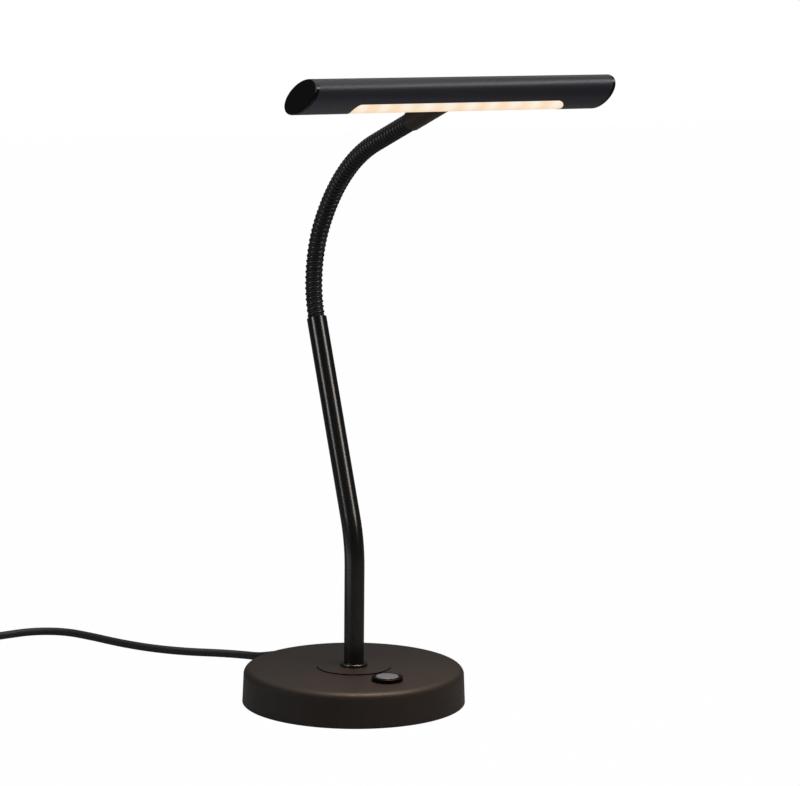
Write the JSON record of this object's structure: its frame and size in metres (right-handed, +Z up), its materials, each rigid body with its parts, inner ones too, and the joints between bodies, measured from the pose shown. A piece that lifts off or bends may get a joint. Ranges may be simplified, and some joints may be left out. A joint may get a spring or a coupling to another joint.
{
  "type": "piano lamp",
  "caption": "Slim LED piano lamp: round weighted base with a push switch, leaning bent stem, bendable ribbed neck and a tubular head with slanted ends and a long opal light strip.",
  "frame": {"origin": "centre of the base's resting face, on the table", "axes": "+Z up along the foot of the stem, -Y to the front, where the switch is and the head reaches, +X to the right seen from the front, along the head"},
  "size_m": [0.4059, 0.443, 0.4513],
  "materials": {
    "base_paint": "satin dark bronze paint",
    "stem_paint": "satin black paint",
    "neck_finish": "black coated steel wire",
    "head_finish": "matte black anodised",
    "cap_plastic": "gloss black",
    "bezel_finish": "gloss black",
    "button_finish": "satin black",
    "opal": "opal, lit",
    "iron": "as cast, dark primer",
    "steel": "zinc plated",
    "brass": "turned",
    "sheet": "black paint",
    "foam": "matte",
    "cord_jacket": "black pvc",
    "lead_jacket": "white pvc",
    "unit_case": "moulded",
    "dark_plastic": "moulded black",
    "sink_metal": "extruded",
    "board": "white solder mask",
    "chip": "phosphor"
  },
  "bodies": {
    "root": {"base_shell": "base_paint", "base_weight": "iron", "base_plate": "sheet", "base_foot_pad": "foam", "base_plate_screws": "steel", "stem_flange": "base_paint", "stem_collar": "stem_paint", "stem_tube": "stem_paint", "stem_nipple": "steel", "stem_washer": "steel", "stem_nut": "steel", "stem_lead": "lead_jacket", "neck_ferrule": "brass", "neck_coil_0": "neck_finish", "switch_bezel": "bezel_finish", "switch_body": "dark_plastic", "switch_nut": "steel", "switch_spring": "steel", "switch_wires": "lead_jacket", "driver_unit": "unit_case", "driver_wires": "lead_jacket", "terminal_block": "unit_case", "cord_bushing": "cord_jacket", "cord_clamp": "dark_plastic", "cord_clamp_screws": "steel", "cord_tail": "cord_jacket", "cord_tube": "cord_jacket", "cord_coil": "cord_jacket", "cord_plug_run": "cord_jacket", "plug_body": "cord_jacket", "plug_pins": "steel"},
    "neck_1": {"neck_coil_1": "neck_finish", "neck_lead_1": "lead_jacket"},
    "neck_2": {"neck_coil_2": "neck_finish", "neck_lead_2": "lead_jacket"},
    "neck_3": {"neck_coil_3": "neck_finish", "neck_lead_3": "lead_jacket"},
    "neck_4": {"neck_coil_4": "neck_finish", "neck_lead_4": "lead_jacket"},
    "neck_5": {"neck_coil_5": "neck_finish", "neck_lead_5": "lead_jacket"},
    "neck_6": {"neck_coil_6": "neck_finish", "neck_lead_6": "lead_jacket"},
    "head": {"neck_coil_7": "neck_finish", "neck_sleeve": "neck_finish", "sleeve_grub_screw": "steel", "head_lock_nut": "steel", "head_tube": "head_finish", "head_cap_left": "cap_plastic", "head_cap_right": "cap_plastic", "head_lead": "lead_jacket", "diffuser": "opal", "led_heat_sink": "sink_metal", "led_board": "board", "led_chips": "chip", "led_board_screws": "steel"},
    "switch_button": {"switch_button": "button_finish"}
  },
  "joints": [
    {"name": "neck_bend_1", "type": "hinge", "parent": "root", "child": "neck_1", "pos_m": [0, 0.06132, 0.29416], "axis": [1, 0, 0], "range_deg": [-15, 12]},
    {"name": "neck_sway_1", "type": "hinge", "parent": "neck_1", "child": "neck_2", "pos_m": [0, 0.0576, 0.32105], "axis": [0, -0.9576, -0.2882], "range_deg": [-12, 12]},
    {"name": "neck_bend_2", "type": "hinge", "parent": "neck_2", "child": "neck_3", "pos_m": [0, 0.04595, 0.34559], "axis": [1, 0, 0], "range_deg": [-15, 12]},
    {"name": "neck_sway_2", "type": "hinge", "parent": "neck_3", "child": "neck_4", "pos_m": [0, 0.02905, 0.36693], "axis": [0, -0.7202, -0.6937], "range_deg": [-12, 12]},
    {"name": "neck_bend_3", "type": "hinge", "parent": "neck_4", "child": "neck_5", "pos_m": [0, 0.00836, 0.38462], "axis": [1, 0, 0], "range_deg": [-15, 12]},
    {"name": "neck_sway_3", "type": "hinge", "parent": "neck_5", "child": "neck_6", "pos_m": [0, -0.01536, 0.39798], "axis": [0, -0.4044, -0.9146], "range_deg": [-12, 12]},
    {"name": "neck_bend_4", "type": "hinge", "parent": "neck_6", "child": "head", "pos_m": [0, -0.04086, 0.40761], "axis": [1, 0, 0], "range_deg": [-15, 12]},
    {"name": "switch_press", "type": "slide", "parent": "root", "child": "switch_button", "axis": [0, 0, -1], "range_m": [0, 0.002], "stiffness_N_per_m": 600, "springref_m": -0.001, "deforming": ["switch_spring"]}
  ],
  "couplings": [
    {"joint": "neck_bend_2", "follows": "neck_bend_1", "ratio": 1},
    {"joint": "neck_sway_2", "follows": "neck_sway_1", "ratio": 1},
    {"joint": "neck_bend_3", "follows": "neck_bend_1", "ratio": 1},
    {"joint": "neck_sway_3", "follows": "neck_sway_1", "ratio": 1},
    {"joint": "neck_bend_4", "follows": "neck_bend_1", "ratio": 1}
  ]
}
